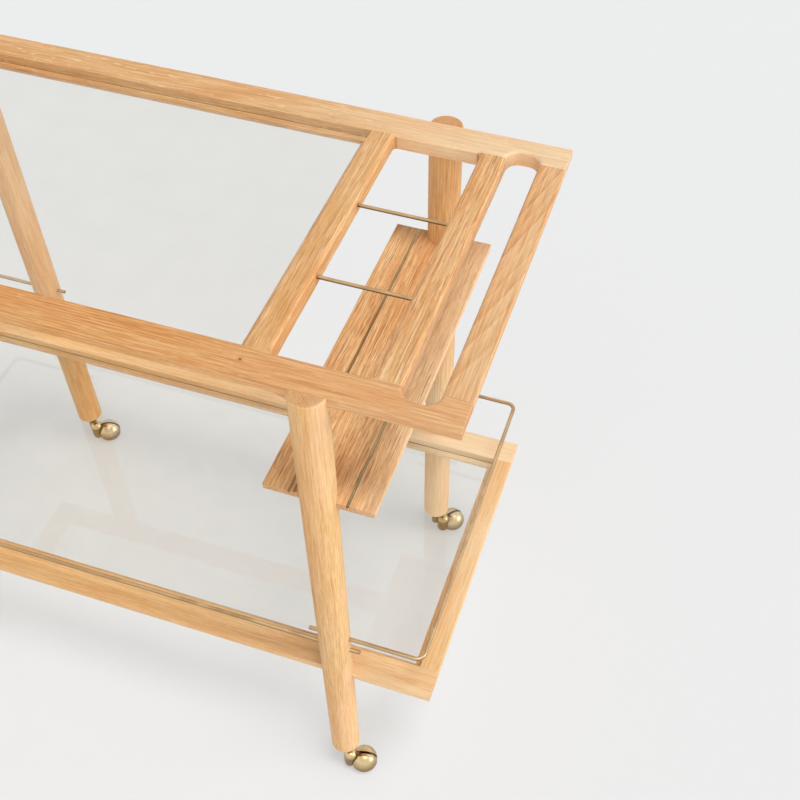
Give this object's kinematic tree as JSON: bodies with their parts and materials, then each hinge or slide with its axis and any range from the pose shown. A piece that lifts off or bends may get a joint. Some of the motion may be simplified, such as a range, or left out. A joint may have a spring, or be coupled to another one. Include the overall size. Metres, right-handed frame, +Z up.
{
  "type": "bar cart",
  "caption": "Two-tier oak bar cart with glass shelves, a slotted bottle rack over a narrow shelf, brass gallery rods and swivelling ball castors.",
  "frame": {"origin": "on the floor under the middle of the cart", "axes": "+X along the cart towards the bottle rack and the grip, +Y towards the back as seen in the picture, +Z up"},
  "size_m": [0.9, 0.466, 0.78],
  "materials": {
    "top_oak": "oiled oak, satin",
    "lower_oak": "oiled oak, satin, paler board",
    "leg_oak": "turned oak, oiled",
    "shelf_oak": "oiled oak with open grain",
    "dowel_wood": "plain beech",
    "glass": "clear float glass, polished",
    "brass": "satin brass rod and strip",
    "castor_brass": "polished pale brass",
    "steel": "turned steel"
  },
  "bodies": {
    "cart": {"top_front_rail": "top_oak", "top_back_rail": "top_oak", "top_right_end_rail": "top_oak", "top_left_end_rail": "top_oak", "grip_bar": "top_oak", "divider_rail": "top_oak", "top_glass": "glass", "rack_rods": "brass", "bottle_shelf": "shelf_oak", "shelf_inlay_left": "brass", "shelf_inlay_right": "brass", "lower_front_rail": "lower_oak", "lower_back_rail": "lower_oak", "lower_right_end_rail": "lower_oak", "lower_left_end_rail": "lower_oak", "lower_glass": "glass", "gallery_right": "brass", "gallery_left": "brass", "gallery_front": "brass", "gallery_back": "brass", "leg_fr": "leg_oak", "leg_br": "leg_oak", "leg_fl": "leg_oak", "leg_bl": "leg_oak", "top_dowels": "dowel_wood", "lower_dowels": "dowel_wood", "leg_dowels": "dowel_wood", "shelf_pins": "steel", "castor_fr_socket": "castor_brass", "castor_fr_stem": "steel", "castor_br_socket": "castor_brass", "castor_br_stem": "steel", "castor_fl_socket": "castor_brass", "castor_fl_stem": "steel", "castor_bl_socket": "castor_brass", "castor_bl_stem": "steel"},
    "castor_fr": {"castor_fr_hood": "castor_brass", "castor_fr_axle": "steel"},
    "wheel_fr": {"castor_fr_wheel": "castor_brass"},
    "castor_br": {"castor_br_hood": "castor_brass", "castor_br_axle": "steel"},
    "wheel_br": {"castor_br_wheel": "castor_brass"},
    "castor_fl": {"castor_fl_hood": "castor_brass", "castor_fl_axle": "steel"},
    "wheel_fl": {"castor_fl_wheel": "castor_brass"},
    "castor_bl": {"castor_bl_hood": "castor_brass", "castor_bl_axle": "steel"},
    "wheel_bl": {"castor_bl_wheel": "castor_brass"}
  },
  "joints": [
    {"name": "castor_fr_swivel", "type": "hinge", "parent": "cart", "child": "castor_fr", "pos_m": [0.30825, -0.2035, 0.03], "axis": [0, 0, 1], "continuous": true},
    {"name": "wheel_fr_roll", "type": "hinge", "parent": "castor_fr", "child": "wheel_fr", "pos_m": [0.33499, -0.20669, 0.018], "axis": [-0.2588, 0.9659, 0], "continuous": true},
    {"name": "castor_br_swivel", "type": "hinge", "parent": "cart", "child": "castor_br", "pos_m": [0.30825, 0.2035, 0.03], "axis": [0, 0, 1], "continuous": true},
    {"name": "wheel_br_roll", "type": "hinge", "parent": "castor_br", "child": "wheel_br", "pos_m": [0.33261, 0.21496, 0.018], "axis": [-0.7314, 0.682, 0], "continuous": true},
    {"name": "castor_fl_swivel", "type": "hinge", "parent": "cart", "child": "castor_fl", "pos_m": [-0.30825, -0.2035, 0.03], "axis": [0, 0, 1], "continuous": true},
    {"name": "wheel_fl_roll", "type": "hinge", "parent": "castor_fl", "child": "wheel_fl", "pos_m": [-0.28358, -0.21428, 0.018], "axis": [0.0314, 0.9995, 0], "continuous": true},
    {"name": "castor_bl_swivel", "type": "hinge", "parent": "cart", "child": "castor_bl", "pos_m": [-0.30825, 0.2035, 0.03], "axis": [0, 0, 1], "continuous": true},
    {"name": "wheel_bl_roll", "type": "hinge", "parent": "castor_bl", "child": "wheel_bl", "pos_m": [-0.28143, 0.20594, 0.018], "axis": [-0.454, 0.891, 0], "continuous": true}
  ]
}
